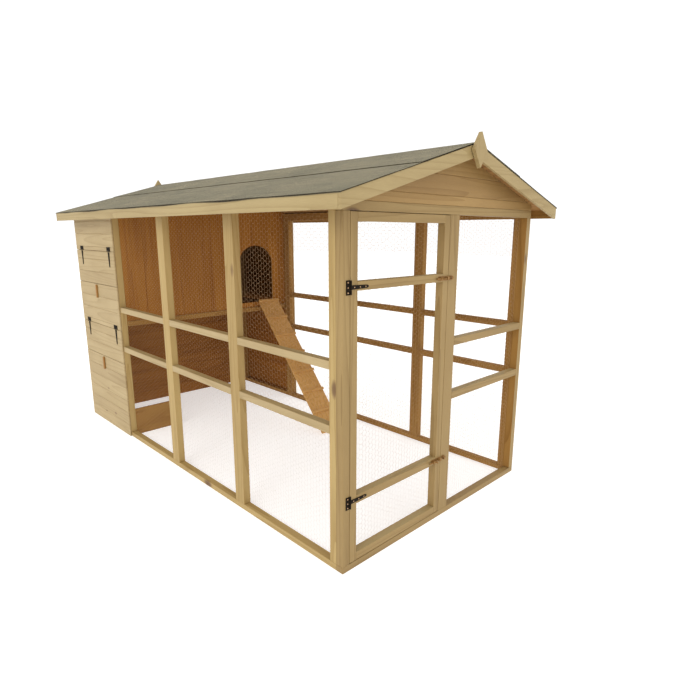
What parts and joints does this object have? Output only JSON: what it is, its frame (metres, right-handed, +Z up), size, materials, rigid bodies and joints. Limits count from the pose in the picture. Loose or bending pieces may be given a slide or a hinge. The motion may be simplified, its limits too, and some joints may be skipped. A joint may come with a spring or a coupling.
{
  "type": "chicken coop",
  "caption": "Walk-in timber chicken coop with a raised house, pop hole, ramp, side hatches, wire-netted run, hinged gable door and a felted ridge roof.",
  "frame": {"origin": "on the ground under the centre of the bounding box", "axes": "+X along the ridge towards the gable with the door, +Y towards the far long side, away from the hatches, +Z up"},
  "size_m": [3.3106, 1.738, 1.962],
  "materials": {
    "planed_pine": "planed pine studs and rails, unpainted",
    "pine_matchboard": "tongued and grooved pine boards",
    "pine_trim": "planed pine trim boards",
    "mineral_felt": "green mineral roofing felt on bitumen",
    "wire_netting": "dulled galvanised hexagonal wire netting",
    "japanned_steel": "black japanned steel",
    "bronzed_steel": "bronzed steel",
    "stained_hardwood": "stained hardwood"
  },
  "bodies": {
    "coop": {"near_sill": "planed_pine", "near_plate": "planed_pine", "near_rear_stud": "planed_pine", "near_house_post": "planed_pine", "near_post_1": "planed_pine", "near_post_2": "planed_pine", "near_corner_stud": "planed_pine", "near_lower_rail_1": "planed_pine", "near_lower_rail_2": "planed_pine", "near_lower_rail_3": "planed_pine", "near_upper_rail_1": "planed_pine", "near_upper_rail_2": "planed_pine", "near_upper_rail_3": "planed_pine", "far_side_frame": "planed_pine", "near_netting": "wire_netting", "far_netting": "wire_netting", "near_boards_bottom": "pine_matchboard", "near_boards_middle": "pine_matchboard", "near_boards_top": "pine_matchboard", "far_boards": "pine_matchboard", "rear_gable_wall": "pine_matchboard", "gable_sill": "planed_pine", "gable_lintel": "planed_pine", "gable_near_stud": "planed_pine", "gable_door_post": "planed_pine", "gable_far_stud": "planed_pine", "gable_lower_rail": "planed_pine", "gable_upper_rail": "planed_pine", "gable_boards": "pine_matchboard", "gable_netting": "wire_netting", "lower_hinge_plate": "japanned_steel", "upper_hinge_plate": "japanned_steel", "lower_bolt_keeper": "bronzed_steel", "upper_bolt_keeper": "bronzed_steel", "house_front": "pine_matchboard", "house_front_rail": "planed_pine", "house_floor": "pine_matchboard", "ground_lip_board": "pine_trim", "near_roof_panel": "pine_matchboard", "far_roof_panel": "pine_matchboard", "near_fascia": "pine_trim", "far_fascia": "pine_trim", "roof_felt": "mineral_felt", "door_bargeboards": "pine_trim", "rear_bargeboards": "pine_trim", "door_finial": "pine_trim", "rear_finial": "pine_trim"},
    "door": {"door_frame": "planed_pine", "door_netting": "wire_netting", "lower_hinge_strap": "japanned_steel", "upper_hinge_strap": "japanned_steel", "lower_bolt_base": "bronzed_steel", "upper_bolt_base": "bronzed_steel"},
    "upper_bolt": {"upper_bolt_rod": "bronzed_steel"},
    "lower_bolt": {"lower_bolt_rod": "bronzed_steel"},
    "upper_hatch": {"upper_hatch": "pine_matchboard"},
    "lower_hatch": {"lower_hatch": "pine_matchboard"},
    "upper_button": {"upper_button": "stained_hardwood"},
    "lower_button": {"lower_button": "stained_hardwood"},
    "ramp": {"ramp": "pine_trim"}
  },
  "joints": [
    {"name": "door_swing", "type": "hinge", "parent": "coop", "child": "door", "pos_m": [1.5363, -0.719, 0], "axis": [0, 0, -1], "range_deg": [0, 110]},
    {"name": "upper_bolt_slide", "type": "slide", "parent": "door", "child": "upper_bolt", "axis": [0, 1, 0], "range_m": [0, 0.03]},
    {"name": "lower_bolt_slide", "type": "slide", "parent": "door", "child": "lower_bolt", "axis": [0, 1, 0], "range_m": [0, 0.03]},
    {"name": "upper_hatch_swing", "type": "hinge", "parent": "coop", "child": "upper_hatch", "pos_m": [-1.155, -0.776, 1.373], "axis": [-1, 0, 0], "range_deg": [0, 100]},
    {"name": "lower_hatch_swing", "type": "hinge", "parent": "coop", "child": "lower_hatch", "pos_m": [-1.155, -0.776, 0.81], "axis": [-1, 0, 0], "range_deg": [0, 100]},
    {"name": "upper_button_turn", "type": "hinge", "parent": "coop", "child": "upper_button", "pos_m": [-1.162, -0.78, 1.101], "axis": [0, 1, 0], "range_deg": [0, 180]},
    {"name": "lower_button_turn", "type": "hinge", "parent": "coop", "child": "lower_button", "pos_m": [-1.162, -0.78, 0.538], "axis": [0, 1, 0], "range_deg": [0, 180]},
    {"name": "ramp_lift", "type": "hinge", "parent": "coop", "child": "ramp", "pos_m": [-0.75, 0.515, 0.918], "axis": [-0.1409, -0.99, 0], "range_deg": [0, 60]}
  ]
}
